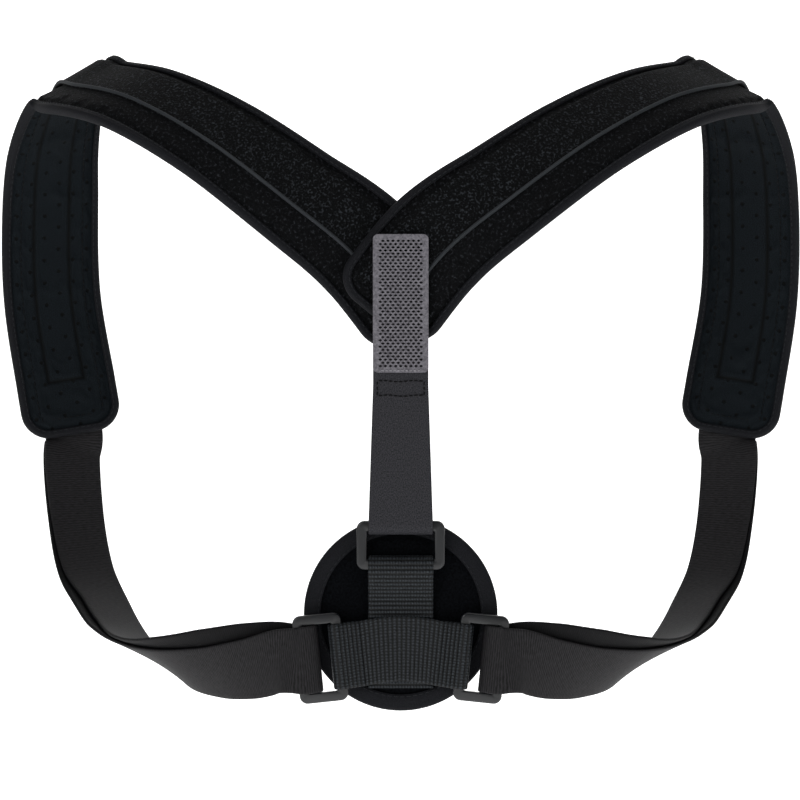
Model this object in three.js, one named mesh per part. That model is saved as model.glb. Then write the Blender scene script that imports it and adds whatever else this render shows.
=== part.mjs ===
import * as THREE from 'three';

// A posture corrector: two padded shoulder bands that cross between the shoulder blades,
// an elastic strap under each arm, and a round back pad that webbings and rings hold.
// Millimetres. X runs to the wearer's right, Y from the back to the front, Z up.
// The origin is between the shoulders, level with the underside of the bands.

// Overall sizes
const SHOULDER_SPAN = 388;
const LOOP_DEPTH = 141;
const CROSSING_DROP = 124;
const FRONT_DROP = 185;
const BACK_PAD_DROP = 271.3;
const CLEARANCE = 0.4;

// Shoulder bands
const BAND_WIDTH = 54.5;
const BAND_THICKNESS = 6;
const BAND_CORNER_RADIUS = 14;
const UNDER_BAND_SAG = 2.5;
const BAND_SLOPE_WIDTH = 3.6;
const CHANNEL_DEPTH = 0.9;
const CHANNEL_WIDTH = 4.4;
const CHANNEL_SPACING = 20;

// Bound edges of the bands and of the back pad
const BINDING_COVER = 3;
const BINDING_WALL = 1;
const BINDING_NOSE = 0.72;
const RIM_THICKNESS = 3;

// Plush tape on the bands
const TAPE_WIDTH = 27;
const TAPE_THICKNESS = 1.2;
const TAPE_LIFT = 0.6;
const TAPE_EDGE_INSET = 7.6;
const TAPE_BACK_INSET = 9;
const TAPE_FRONT_INSET = 34;

// Rings
const RING_WIDTH = 24.4;
const RING_PLAY = 0.7;
const RING_THICKNESS = 3.8;
const RING_BAR = 5;
const RING_CORNER_RADIUS = 4;
const RING_HOLE_RADIUS = 1.25;
const RING_BEVEL = 0.9;
const SIDE_RING_OFFSET = 40;
const SIDE_RING_DROP = 21.2;
const SIDE_RING_TILT = 6;
const CENTRE_RING_RISE = 35;

// Straps and webbings
const STRAP_WIDTH = 32.5;
const SIDE_STRAP_THICKNESS = 1.8;
const SIDE_STRAP_OVERLAP = 24;
const SIDE_STRAP_RUN_ON = 3;
const SIDE_STRAP_STEP = 3;
const SIDE_STRAP_SLIP = 9;
const SIDE_STRAP_FOLD_PLAY = 1.2;
const CENTRE_STRAP_WIDTH = 27.5;
const CENTRE_STRAP_THICKNESS = 1.6;
const CENTRE_STRAP_LIFT = 0.9;
const CENTRE_STRAP_TOP_INSET = 8.5;
const HOOK_TAB_LENGTH = 68.5;
const HOOK_TAB_RISE = 42;
const HOOK_TAB_THICKNESS = 1.2;
const HOOK_TAB_RADIUS = 2.5;
const WEBBING_THICKNESS = 1.7;
const WEBBING_TAIL = 36.5;
const WEBBING_RETURN = 30;
const CROSS_WEBBING_DROP = 16.7;
const CROSS_WEBBING_PLAY = 1.2;
const CROSS_WEBBING_BEND = 0.2;

// Round back pad
const BACK_PAD_DIAMETER = 97.3;
const BACK_PAD_THICKNESS = 6;
const BACK_PAD_COVER = 7;
const BACK_PAD_SET_IN = 1.5;

// How finely curves are cut
const BACK_PAD_SEGMENTS = 40;
const BAND_STATIONS = 28;
const CORNER_STATIONS = [0, 0.08, 0.25, 0.5, 0.75];
const SIDE_STRAP_STATIONS = 24;
const TURN_STEPS = 8;

// Worked out from the sizes above
const BACK_PLANE = -LOOP_DEPTH / 2;
const HALF_SPAN = SHOULDER_SPAN / 2;
const BAND_HALF = BAND_THICKNESS / 2;
const RIM_HALF = RIM_THICKNESS / 2;
const SLOT_HALF = RIM_HALF + CLEARANCE;
const BINDING_HALF = SLOT_HALF + BINDING_WALL;
const TAPE_TOP = BAND_HALF + TAPE_LIFT + TAPE_THICKNESS;
const CROSSING_SHIFT = (BAND_HALF + TAPE_TOP) / 2 + CLEARANCE;
const RING_LENGTH = STRAP_WIDTH + 2 * (RING_BAR + RING_PLAY);
const POST_OFFSET = RING_WIDTH / 2 - RING_BAR / 2;

// Course of a band from its back end to its front end, a row for each section. Out is a share of
// half the span, deep of the loop's depth, down of the drop of that part. Tip is how far the outer
// face has turned from facing back (0) over the top (90) to facing front (180), and lean how far
// it looks sideways, both in degrees. Wide is a share of the band's width, and cross is how much
// of the crossing's shift the section takes.
const BACK_COURSE = [
  { out: -0.06, deep: 0, down: 1.01, tip: 0, lean: 0, wide: 1, cross: 1 },
  { out: 0.095, deep: 0, down: 0.71, tip: 1, lean: 0, wide: 1, cross: 1 },
  { out: 0.27, deep: 0.035, down: 0.5, tip: 16, lean: 0, wide: 0.95, cross: 0.8 },
  { out: 0.487, deep: 0.12, down: 0.265, tip: 32, lean: 3, wide: 0.92, cross: 0.3 },
  { out: 0.69, deep: 0.27, down: 0.095, tip: 50, lean: 11, wide: 0.92, cross: 0 },
  { out: 0.85, deep: 0.5, down: 0.01, tip: 74, lean: 27, wide: 0.94, cross: 0 },
];
const FRONT_COURSE = [
  { out: 0.918, deep: 0.66, down: -0.012, tip: 101, lean: 38, wide: 0.95, cross: 0 },
  { out: 0.982, deep: 0.83, down: 0.14, tip: 134, lean: 32, wide: 0.95, cross: 0 },
  { out: 1.003, deep: 0.92, down: 0.3, tip: 160, lean: 26, wide: 0.96, cross: 0 },
  { out: 1.006, deep: 0.985, down: 0.585, tip: 176, lean: 22, wide: 0.96, cross: 0 },
  { out: 0.967, deep: 1, down: 0.857, tip: 180, lean: 18, wide: 0.97, cross: 0 },
  { out: 0.943, deep: 0.995, down: 1, tip: 180, lean: 17, wide: 0.97, cross: 0 },
];

// Course of a side strap from below the band's front end to the side ring. Out is a share of the
// way from the ring's post to the band's end, and deep and down are shares of the ways between
// them. Slip is how much of its full slip the outer layer has, and apart how far it stands off
// the inner layer.
const STRAP_COURSE = [
  { out: 1.005, deep: 0.982, down: 0.09, tip: 180, lean: 26, slip: 0, apart: 0 },
  { out: 0.975, deep: 0.915, down: 0.414, tip: 186, lean: 34, slip: 0.1, apart: 0 },
  { out: 0.92, deep: 0.816, down: 0.667, tip: 205, lean: 36, slip: 0.25, apart: 0 },
  { out: 0.845, deep: 0.71, down: 0.81, tip: 226, lean: 38, slip: 0.45, apart: 0 },
  { out: 0.755, deep: 0.57, down: 0.935, tip: 258, lean: 28, slip: 0.9, apart: 0 },
  { out: 0.65, deep: 0.41, down: 1.005, tip: 292, lean: 12, slip: 1.15, apart: 0 },
  { out: 0.5, deep: 0.225, down: 1.045, tip: 318, lean: 6, slip: 1.1, apart: 0 },
  { out: 0.345, deep: 0.11, down: 1.035, tip: 332, lean: 4, slip: 1, apart: 0 },
  { out: 0.2, deep: 0.045, down: 1.01, tip: 345, lean: 0, slip: 1, apart: 0.2 },
  { out: 0.08, deep: 0.015, down: 0.99, tip: 355, lean: 0, slip: 0.8, apart: 0.6 },
];

const radians = THREE.MathUtils.degToRad;

// Direction that a face looks in, from its tip and lean
function facing(tip, lean) {
  const turn = radians(tip);
  const side = radians(lean);
  return new THREE.Vector3(
    Math.sin(side),
    -Math.cos(side) * Math.cos(turn),
    Math.cos(side) * Math.sin(turn),
  );
}

// A smooth course through sections, each with a place, a facing and other values. It gives the
// frame at any length: the place, the way along, the way across and the way out.
function makeCourse(sections) {
  const line = new THREE.CatmullRomCurve3(sections.map((s) => s.at));
  line.arcLengthDivisions = 400;
  const faces = new THREE.CatmullRomCurve3(sections.map((s) => s.face), false, 'catmullrom');
  const length = line.getLength();
  const blend = (name, t) => {
    const place = t * (sections.length - 1);
    const from = Math.min(Math.floor(place), sections.length - 2);
    return THREE.MathUtils.lerp(sections[from][name], sections[from + 1][name], place - from);
  };
  const frame = (distance) => {
    const share = THREE.MathUtils.clamp(distance / length, 0, 1);
    const t = line.getUtoTmapping(share);
    const along = line.getTangent(t);
    const out = faces.getPoint(t);
    out.addScaledVector(along, -out.dot(along)).normalize();
    const across = new THREE.Vector3().crossVectors(out, along);
    return { at: line.getPoint(t), along, across, out, value: (name) => blend(name, t) };
  };
  return { length, frame };
}

// Point of a frame, moved across, out and along
function move(frame, across, out, along = 0) {
  return frame.at.clone()
    .addScaledVector(frame.across, across)
    .addScaledVector(frame.out, out)
    .addScaledVector(frame.along, along);
}

// Closed solid from rings of points, capped at both ends or closed on itself
function solidOfRings(rings, closed = false) {
  const size = rings[0].length;
  const points = rings.flat();
  const triangles = [];
  const quad = (a, b, c, d) => triangles.push(a, b, c, a, c, d);
  const last = closed ? rings.length : rings.length - 1;
  for (let i = 0; i < last; i += 1) {
    const next = ((i + 1) % rings.length) * size;
    for (let j = 0; j < size; j += 1) {
      const k = (j + 1) % size;
      quad(i * size + j, i * size + k, next + k, next + j);
    }
  }
  if (!closed) {
    const end = (rings.length - 1) * size;
    for (let j = 1; j < size / 2; j += 1) {
      const k = size - 1 - j;
      quad(j - 1, k + 1, k, j);
      quad(end + j - 1, end + j, end + k, end + k + 1);
    }
  }
  return solid(points, triangles);
}

// Geometry from points and triangles, turned inside out where its volume comes out negative
function solid(points, triangles) {
  const six = (i) => points[triangles[i]].dot(
    new THREE.Vector3().crossVectors(points[triangles[i + 1]], points[triangles[i + 2]]),
  );
  let volume = 0;
  for (let i = 0; i < triangles.length; i += 3) volume += six(i);
  const faces = volume < 0 ? [...triangles].reverse() : triangles;
  const geometry = new THREE.BufferGeometry();
  geometry.setAttribute('position', new THREE.Float32BufferAttribute(
    points.flatMap((p) => [p.x, p.y, p.z]),
    3,
  ));
  geometry.setIndex(faces);
  geometry.computeVertexNormals();
  return geometry;
}

// The same points on the other side of the body
const mirrored = (point, side) => new THREE.Vector3(side * point.x, point.y, point.z);

// Shoulder bands: side is 1 on the right, whose back end lies over the left one's, and -1 on the left
function bandCourse(side) {
  const place = (drop) => (row) => ({
    ...row,
    at: new THREE.Vector3(
      row.out * HALF_SPAN,
      BACK_PLANE + row.deep * LOOP_DEPTH - side * row.cross * CROSSING_SHIFT,
      BAND_HALF - row.down * drop - (side < 0 ? row.cross * UNDER_BAND_SAG : 0),
    ),
    face: facing(row.tip, row.lean),
  });
  return makeCourse([
    ...BACK_COURSE.map(place(CROSSING_DROP)),
    ...FRONT_COURSE.map(place(FRONT_DROP)),
  ]);
}

// Lengths at which a band is cut into sections: close together in its rounded ends
function bandStations(course) {
  const r = BAND_CORNER_RADIUS;
  const end = CORNER_STATIONS.map((share) => share * r);
  const middle = course.length - 2 * r;
  const even = [...Array(BAND_STATIONS + 1).keys()].map((i) => r + (i / BAND_STATIONS) * middle);
  return [...end, ...even, ...end.map((d) => course.length - d).reverse()];
}

// How far a length lies past the start of a rounded corner, towards the nearer end
function intoCorner(course, distance) {
  return Math.max(BAND_CORNER_RADIUS - Math.min(distance, course.length - distance), 0);
}

// Half the width of a band at a length, before and after its corners are rounded off
function bandFullHalf(course, distance) {
  return (BAND_WIDTH / 2) * course.frame(distance).value('wide');
}

function bandHalfWidth(course, distance) {
  const r = BAND_CORNER_RADIUS;
  const left = intoCorner(course, distance);
  return bandFullHalf(course, distance) - r + Math.sqrt(Math.max(r * r - left * left, 0));
}

// How far a place on a band lies from the band's outline
function fromBandEdge(course, distance, across) {
  const half = bandFullHalf(course, distance);
  const left = intoCorner(course, distance);
  const aside = Math.max(Math.abs(across) - (half - BAND_CORNER_RADIUS), 0);
  if (left > 0 && aside > 0) return BAND_CORNER_RADIUS - Math.hypot(left, aside);
  return Math.min(half - Math.abs(across), distance, course.length - distance);
}

// Half thickness of a padded piece at a distance from its edge, thin under the binding
function puff(fromEdge, cover, full) {
  const start = cover + CLEARANCE;
  const rise = THREE.MathUtils.smoothstep(fromEdge, start, start + BAND_SLOPE_WIDTH);
  return RIM_HALF + (full - RIM_HALF) * rise;
}

function bandBody(course, side) {
  const inset = BINDING_COVER + CLEARANCE;
  const flat = inset + BAND_SLOPE_WIDTH;
  const groove = CHANNEL_WIDTH / 2;
  const grooves = [-CHANNEL_SPACING / 2, CHANNEL_SPACING / 2];
  const rings = bandStations(course).map((distance) => {
    const frame = course.frame(distance);
    const half = bandHalfWidth(course, distance);
    const room = (half - flat) / (BAND_WIDTH / 2 - flat);
    const thick = (u) => puff(fromBandEdge(course, distance, u), BINDING_COVER, BAND_HALF);
    const sewn = CHANNEL_DEPTH * ((thick(0) - RIM_HALF) / (BAND_HALF - RIM_HALF));
    const places = [
      [-half, 0],
      [-half + inset, 0],
      [-half + flat, 0],
      ...grooves.flatMap((g) => [[(g - groove) * room, 0], [g * room, sewn], [(g + groove) * room, 0]]),
      [half - flat, 0],
      [half - inset, 0],
      [half, 0],
    ];
    const lining = places.map(([u, deep]) => move(frame, u, deep - thick(u)));
    const cover = places.map(([u]) => move(frame, u, thick(u))).reverse();
    return [...lining, ...cover].map((p) => mirrored(p, side));
  });
  return solidOfRings(rings);
}

// Bound edge: a folded tape whose section is a C, swept round the outline of the band
function bandBinding(course, side) {
  const edge = CLEARANCE + BINDING_WALL;
  const section = [
    [-BINDING_COVER, BINDING_HALF],
    [edge, BINDING_NOSE * BINDING_HALF],
    [edge, -BINDING_NOSE * BINDING_HALF],
    [-BINDING_COVER, -BINDING_HALF],
    [-BINDING_COVER, -SLOT_HALF],
    [CLEARANCE, -SLOT_HALF],
    [CLEARANCE, SLOT_HALF],
    [-BINDING_COVER, SLOT_HALF],
  ];
  const r = BAND_CORNER_RADIUS;
  const ringAt = (distance, way) => {
    const frame = course.frame(distance);
    const half = bandHalfWidth(course, distance);
    const slant = intoCorner(course, distance) / r;
    const toward = distance < course.length / 2 ? -slant : slant;
    const square = Math.sqrt(1 - slant * slant);
    return section.map(([a, b]) => mirrored(
      move(frame, way * (half + a * square), b, a * toward),
      side,
    ));
  };
  const stations = bandStations(course);
  return solidOfRings([
    ...stations.map((d) => ringAt(d, 1)),
    ...stations.map((d) => ringAt(d, -1)).reverse(),
  ], true);
}

// Plush tape: a strip along the upper part of the outer face
function bandTape(course, side) {
  const top = BAND_WIDTH / 2 - TAPE_EDGE_INSET;
  const across = [0, 1 / 3, 2 / 3, 1].map((share) => top - share * TAPE_WIDTH);
  const under = BAND_HALF + TAPE_LIFT;
  const stations = bandStations(course).filter(
    (d) => d >= TAPE_BACK_INSET && d <= course.length - TAPE_FRONT_INSET,
  );
  return solidOfRings(stations.map((distance) => {
    const frame = course.frame(distance);
    const wide = frame.value('wide');
    const low = across.map((u) => move(frame, u * wide, under));
    const high = across.map((u) => move(frame, u * wide, under + TAPE_THICKNESS)).reverse();
    return [...low, ...high].map((p) => mirrored(p, side));
  }));
}

// Flat strip through frames, each with its own width
function strip(frames, thickness) {
  const half = thickness / 2;
  return solidOfRings(frames.map((f) => [
    move(f, -f.width / 2, -half),
    move(f, f.width / 2, -half),
    move(f, f.width / 2, half),
    move(f, -f.width / 2, half),
  ]));
}

// Half turn of a strip round a post, from behind it to in front of it. Outward is the way from
// the strip to the post.
function turnRound(post, outward, across, radius) {
  const front = new THREE.Vector3(0, -1, 0);
  return [...Array(TURN_STEPS + 1).keys()].map((i) => {
    const angle = Math.PI * (i / TURN_STEPS);
    const out = front.clone().multiplyScalar(-Math.cos(angle)).addScaledVector(outward, Math.sin(angle));
    const at = post.clone().addScaledVector(out, radius);
    const along = new THREE.Vector3().crossVectors(across, out);
    return { at, along, across, out, width: STRAP_WIDTH };
  });
}

// How far the middle of a strip runs from the middle of the post that it is folded round
const reachRound = (thickness) => RING_BAR / 2 + CLEARANCE + thickness / 2;
const SIDE_STRAP_REACH = reachRound(SIDE_STRAP_THICKNESS) + SIDE_STRAP_FOLD_PLAY;

// Depths of the layers that lie on the back pad, the rings' posts among them
const PAD_FACE = BACK_PLANE + BACK_PAD_SET_IN;
const RING_DEPTH = PAD_FACE - CLEARANCE - SIDE_STRAP_THICKNESS / 2 - SIDE_STRAP_REACH;
const TILT = radians(SIDE_RING_TILT);
const SIDE_OUTWARD = new THREE.Vector3(Math.cos(TILT), 0, -Math.sin(TILT));
const SIDE_UPWARD = new THREE.Vector3(Math.sin(TILT), 0, Math.cos(TILT));
const SIDE_RING = new THREE.Vector3(SIDE_RING_OFFSET, RING_DEPTH, -BACK_PAD_DROP - SIDE_RING_DROP);
const CENTRE_RING = new THREE.Vector3(0, RING_DEPTH, -BACK_PAD_DROP + CENTRE_RING_RISE);
const OUTER_POST = SIDE_RING.clone().addScaledVector(SIDE_OUTWARD, POST_OFFSET);
const INNER_POST = SIDE_RING.clone().addScaledVector(SIDE_OUTWARD, -POST_OFFSET);

// Side strap: the inner layer from the band's front end to the ring, the turn, the layer back
function sideStrap(course, side) {
  const thick = SIDE_STRAP_THICKNESS;
  const stand = BAND_HALF + CLEARANCE + thick / 2;
  const onBand = (frame, along) => (
    { at: move(frame, 0, stand, along), face: frame.out, slip: 0, apart: 0 }
  );
  const sewn = onBand(course.frame(course.length - SIDE_STRAP_OVERLAP), 0);
  const free = onBand(course.frame(course.length), SIDE_STRAP_RUN_ON);
  const reach = SIDE_STRAP_REACH;
  const behindPost = OUTER_POST.clone();
  behindPost.y += reach;
  const between = STRAP_COURSE.map((row) => ({
    ...row,
    at: new THREE.Vector3(
      THREE.MathUtils.lerp(OUTER_POST.x, free.at.x, row.out),
      THREE.MathUtils.lerp(behindPost.y, free.at.y, row.deep),
      THREE.MathUtils.lerp(free.at.z, OUTER_POST.z, row.down),
    ),
    face: facing(row.tip, row.lean),
  }));
  const last = { at: behindPost, face: facing(360, 0), slip: 0, apart: 1 };
  const sling = makeCourse([sewn, free, ...between, last]);
  const straight = SIDE_STRAP_OVERLAP + SIDE_STRAP_RUN_ON;
  const outerEnd = straight + SIDE_STRAP_STEP;
  const even = [...Array(SIDE_STRAP_STATIONS).keys()]
    .map((i) => THREE.MathUtils.lerp(outerEnd, sling.length, i / SIDE_STRAP_STATIONS));
  const gap = thick + CLEARANCE;
  const innerLayer = (distance) => {
    const frame = sling.frame(distance);
    const at = move(frame, frame.value('slip') * (SIDE_STRAP_SLIP / 2), 0);
    const out = frame.out.clone().negate();
    return { ...frame, at, across: frame.across.clone().negate(), out, width: STRAP_WIDTH };
  };
  const outerLayer = (distance) => {
    const frame = sling.frame(distance);
    const lift = gap + (2 * reach - gap) * frame.value('apart');
    const at = move(frame, -frame.value('slip') * (SIDE_STRAP_SLIP / 2), lift);
    return { ...frame, at, across: frame.across.clone().negate(), width: STRAP_WIDTH };
  };
  const inner = [0, straight, ...even].map(innerLayer);
  const outer = even.map(outerLayer);
  const turn = turnRound(OUTER_POST, SIDE_OUTWARD.clone().negate(), SIDE_UPWARD, reach);
  const geometry = strip([...inner, ...turn, ...outer.reverse()], thick);
  return side > 0 ? geometry : flipped(geometry);
}

// The same solid on the other side of the body
function flipped(geometry) {
  const position = geometry.getAttribute('position');
  const points = [...Array(position.count).keys()].map(
    (i) => mirrored(new THREE.Vector3().fromBufferAttribute(position, i), -1),
  );
  return solid(points, [...geometry.index.array]);
}

// Rectangle with rounded corners
function roundedRectangle(path, width, height, radius) {
  const x = width / 2 - radius;
  const y = height / 2 - radius;
  path.moveTo(-x, -y - radius);
  path.absarc(x, -y, radius, -Math.PI / 2, 0, false);
  path.absarc(x, y, radius, 0, Math.PI / 2, false);
  path.absarc(-x, y, radius, Math.PI / 2, Math.PI, false);
  path.absarc(-x, -y, radius, Math.PI, 1.5 * Math.PI, false);
  return path;
}

// Ring with rounded edges, its posts along X, facing back
function ring() {
  const b = RING_BEVEL;
  const outline = roundedRectangle(
    new THREE.Shape(),
    RING_LENGTH - 2 * b,
    RING_WIDTH - 2 * b,
    RING_CORNER_RADIUS - b,
  );
  outline.holes.push(roundedRectangle(
    new THREE.Path(),
    RING_LENGTH - 2 * RING_BAR + 2 * b,
    RING_WIDTH - 2 * RING_BAR + 2 * b,
    RING_HOLE_RADIUS + b,
  ));
  const geometry = new THREE.ExtrudeGeometry(outline, {
    depth: RING_THICKNESS - 2 * b,
    bevelThickness: b,
    bevelSize: b,
    bevelSegments: 1,
    curveSegments: 4,
  });
  geometry.translate(0, 0, b - RING_THICKNESS / 2);
  geometry.rotateX(Math.PI / 2);
  return geometry;
}

// Strip through points, each with its own way across and width
function stripThrough(points, thickness) {
  return strip(points.map((p, i) => {
    const before = points[Math.max(i - 1, 0)].at;
    const after = points[Math.min(i + 1, points.length - 1)].at;
    const along = new THREE.Vector3().subVectors(after, before).normalize();
    return { ...p, along, out: new THREE.Vector3().crossVectors(along, p.across).normalize() };
  }), thickness);
}

// Depths of what lies over the crossing: the centre strap's layer behind it and the one before it
const OVER_CROSSING = BACK_PLANE - CROSSING_SHIFT - TAPE_TOP - CENTRE_STRAP_LIFT;
const UNDER_CROSSING = BACK_PLANE + CROSSING_SHIFT + BAND_HALF + CLEARANCE;
const HOOK_TAB_TOP = HOOK_TAB_RISE - CROSSING_DROP;

// Centre strap: up behind the crossing, and up before it to the hook tab, from the centre ring
function centreStrap() {
  const half = CENTRE_STRAP_THICKNESS / 2;
  const reach = reachRound(CENTRE_STRAP_THICKNESS);
  const post = CENTRE_RING.clone();
  post.z += POST_OFFSET;
  const across = new THREE.Vector3(1, 0, 0);
  const point = (y, z, width) => ({ at: new THREE.Vector3(0, y, z), across, width });
  const clear = HOOK_TAB_TOP - HOOK_TAB_LENGTH - 2 * BINDING_COVER;
  const turn = turnRound(post, new THREE.Vector3(0, 0, -1), across, reach);
  return stripThrough([
    point(UNDER_CROSSING + half, -CROSSING_DROP, CENTRE_STRAP_WIDTH),
    point(UNDER_CROSSING + half, clear, CENTRE_STRAP_WIDTH),
    ...turn,
    point(OVER_CROSSING - half, clear, CENTRE_STRAP_WIDTH),
    point(OVER_CROSSING - half, HOOK_TAB_TOP - CENTRE_STRAP_TOP_INSET, CENTRE_STRAP_WIDTH),
  ], CENTRE_STRAP_THICKNESS);
}

// Hook tab: a mesh rectangle on the centre strap's end
function hookTab() {
  const outline = roundedRectangle(
    new THREE.Shape(),
    CENTRE_STRAP_WIDTH,
    HOOK_TAB_LENGTH,
    HOOK_TAB_RADIUS,
  );
  const geometry = new THREE.ExtrudeGeometry(outline, {
    depth: HOOK_TAB_THICKNESS,
    bevelEnabled: false,
    curveSegments: 4,
  });
  geometry.rotateX(Math.PI / 2);
  const under = OVER_CROSSING - CENTRE_STRAP_THICKNESS - CLEARANCE;
  geometry.translate(0, under, HOOK_TAB_TOP - HOOK_TAB_LENGTH / 2);
  return geometry;
}

// Depths of the middle of the webbings' layers on the back pad
const WEBBING_STEP = WEBBING_THICKNESS + CLEARANCE;
const LOWEST_WEBBING = PAD_FACE - CLEARANCE - WEBBING_THICKNESS / 2;

// Vertical webbing: folded over the centre ring's lower post and laid on the back pad
function verticalWebbing() {
  const reach = reachRound(WEBBING_THICKNESS);
  const post = CENTRE_RING.clone();
  post.z -= POST_OFFSET;
  const across = new THREE.Vector3(1, 0, 0);
  const point = (layer, z) => ({
    at: new THREE.Vector3(0, LOWEST_WEBBING - layer * WEBBING_STEP, z),
    across,
    width: STRAP_WIDTH,
  });
  const belowPost = post.z - RING_BAR / 2 - CLEARANCE;
  const laid = belowPost - 2 * reach;
  return stripThrough([
    point(0, post.z - WEBBING_RETURN),
    point(0, laid),
    ...turnRound(post, new THREE.Vector3(0, 0, 1), across, reach),
    { ...point(0, 0), at: new THREE.Vector3(0, post.y - reach, belowPost) },
    point(1, laid),
    point(1, -BACK_PAD_DROP - WEBBING_TAIL),
  ], WEBBING_THICKNESS);
}

// Cross webbing: over the vertical webbing, its ends folded round the side rings' inner posts
function crossWebbing() {
  const reach = reachRound(WEBBING_THICKNESS);
  const level = -BACK_PAD_DROP - CROSS_WEBBING_DROP;
  const upright = new THREE.Vector3(0, 0, 1);
  const point = (x, y, z, across) => ({ at: new THREE.Vector3(x, y, z), across, width: STRAP_WIDTH });
  const over = LOWEST_WEBBING - 2 * WEBBING_STEP;
  const edge = (STRAP_WIDTH / 2) * (1 + Math.sin(TILT)) + CROSS_WEBBING_PLAY;
  const fall = (x) => (x - INNER_POST.x) * Math.tan(TILT);
  const turn = turnRound(INNER_POST, SIDE_OUTWARD, SIDE_UPWARD, reach).reverse();
  const right = [
    point(edge / 2, over, THREE.MathUtils.lerp(level, INNER_POST.z, CROSS_WEBBING_BEND), upright),
    point(edge, over, INNER_POST.z - fall(edge), SIDE_UPWARD),
    ...turn,
    point(edge, INNER_POST.y + reach, INNER_POST.z - fall(edge), SIDE_UPWARD),
  ];
  const left = right.map((p) => ({ ...p, at: mirrored(p.at, -1), across: mirrored(p.across, -1) }));
  return stripThrough(
    [...left.reverse(), point(0, over, level, upright), ...right],
    WEBBING_THICKNESS,
  );
}

// Round back pad and its bound rim: both turned round the pad's own axis, which runs along Y
const BACK_PAD_MIDDLE = PAD_FACE + BACK_PAD_THICKNESS / 2;
const BACK_PAD_BODY_RADIUS = BACK_PAD_DIAMETER / 2 - CLEARANCE - BINDING_WALL;

function placeBackPad(profile) {
  const points = profile.map(([radius, height]) => new THREE.Vector2(radius, height));
  const geometry = new THREE.LatheGeometry(points, BACK_PAD_SEGMENTS);
  geometry.translate(0, BACK_PAD_MIDDLE, -BACK_PAD_DROP);
  return geometry;
}

function backPad() {
  const full = BACK_PAD_THICKNESS / 2;
  const slope = BACK_PAD_BODY_RADIUS - BACK_PAD_COVER - CLEARANCE;
  const flat = slope - BAND_SLOPE_WIDTH;
  return placeBackPad([
    [0, -full],
    [flat, -full],
    [slope, -RIM_HALF],
    [BACK_PAD_BODY_RADIUS, -RIM_HALF],
    [BACK_PAD_BODY_RADIUS, RIM_HALF],
    [slope, RIM_HALF],
    [flat, full],
    [0, full],
  ]);
}

function backPadBinding() {
  const seam = BACK_PAD_BODY_RADIUS - BACK_PAD_COVER;
  const slot = BACK_PAD_BODY_RADIUS + CLEARANCE;
  const rim = BACK_PAD_DIAMETER / 2;
  return placeBackPad([
    [seam, -SLOT_HALF],
    [seam, -BINDING_HALF],
    [rim - BINDING_WALL / 2, -BINDING_HALF],
    [rim, -SLOT_HALF],
    [rim, SLOT_HALF],
    [rim - BINDING_WALL / 2, BINDING_HALF],
    [seam, BINDING_HALF],
    [seam, SLOT_HALF],
    [slot, SLOT_HALF],
    [slot, -SLOT_HALF],
    [seam, -SLOT_HALF],
  ]);
}

// Finishes, with colours from the photograph
const finish = (color, roughness) => new THREE.MeshStandardMaterial({ color, roughness, metalness: 0 });
const LINING = finish(0x14191b, 0.85);
const BINDING = finish(0x26272a, 0.8);
const PLUSH = finish(0x15171a, 0.95);
const ELASTIC = finish(0x3b3a3b, 0.75);
const SMOOTH_STRAP = finish(0x333437, 0.7);
const WEBBING = finish(0x111214, 0.8);
const MESH_TAB = finish(0x5f5c62, 0.7);
const PLASTIC = finish(0x3a3d40, 0.4);

const group = new THREE.Group();

function add(name, geometry, material) {
  const mesh = new THREE.Mesh(geometry, material.clone());
  mesh.name = name;
  group.add(mesh);
  return mesh;
}

for (const side of [-1, 1]) {
  const name = side < 0 ? 'left' : 'right';
  const course = bandCourse(side);
  add(`${name}_shoulder_pad`, bandBody(course, side), LINING);
  add(`${name}_pad_binding`, bandBinding(course, side), BINDING);
  add(`${name}_loop_tape`, bandTape(course, side), PLUSH);
  add(`${name}_side_strap`, sideStrap(course, side), ELASTIC);
  const sideRing = add(`${name}_side_buckle`, ring(), PLASTIC);
  sideRing.position.copy(mirrored(SIDE_RING, side));
  sideRing.rotation.y = Math.PI / 2 + side * TILT;
}
add('centre_buckle', ring(), PLASTIC).position.copy(CENTRE_RING);
add('centre_strap', centreStrap(), SMOOTH_STRAP);
add('hook_tab', hookTab(), MESH_TAB);
add('vertical_webbing', verticalWebbing(), WEBBING);
add('cross_webbing', crossWebbing(), WEBBING);
add('back_pad', backPad(), LINING);
add('back_pad_binding', backPadBinding(), BINDING);

export default group;
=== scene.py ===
import math

import bmesh
import bpy
import numpy as np
from mathutils import Matrix, Vector


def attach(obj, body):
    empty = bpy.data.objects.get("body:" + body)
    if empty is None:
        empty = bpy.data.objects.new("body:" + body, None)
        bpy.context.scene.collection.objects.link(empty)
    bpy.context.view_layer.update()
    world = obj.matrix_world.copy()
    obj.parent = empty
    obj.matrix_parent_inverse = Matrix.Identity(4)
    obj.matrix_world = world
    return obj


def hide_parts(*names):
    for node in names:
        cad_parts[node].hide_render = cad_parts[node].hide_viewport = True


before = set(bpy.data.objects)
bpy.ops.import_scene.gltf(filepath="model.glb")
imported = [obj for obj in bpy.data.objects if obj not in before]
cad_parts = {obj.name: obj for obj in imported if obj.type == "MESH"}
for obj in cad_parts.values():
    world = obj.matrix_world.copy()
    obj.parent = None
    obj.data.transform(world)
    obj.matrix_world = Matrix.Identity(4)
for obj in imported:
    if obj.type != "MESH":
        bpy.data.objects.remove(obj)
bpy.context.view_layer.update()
scene = bpy.context.scene


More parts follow.
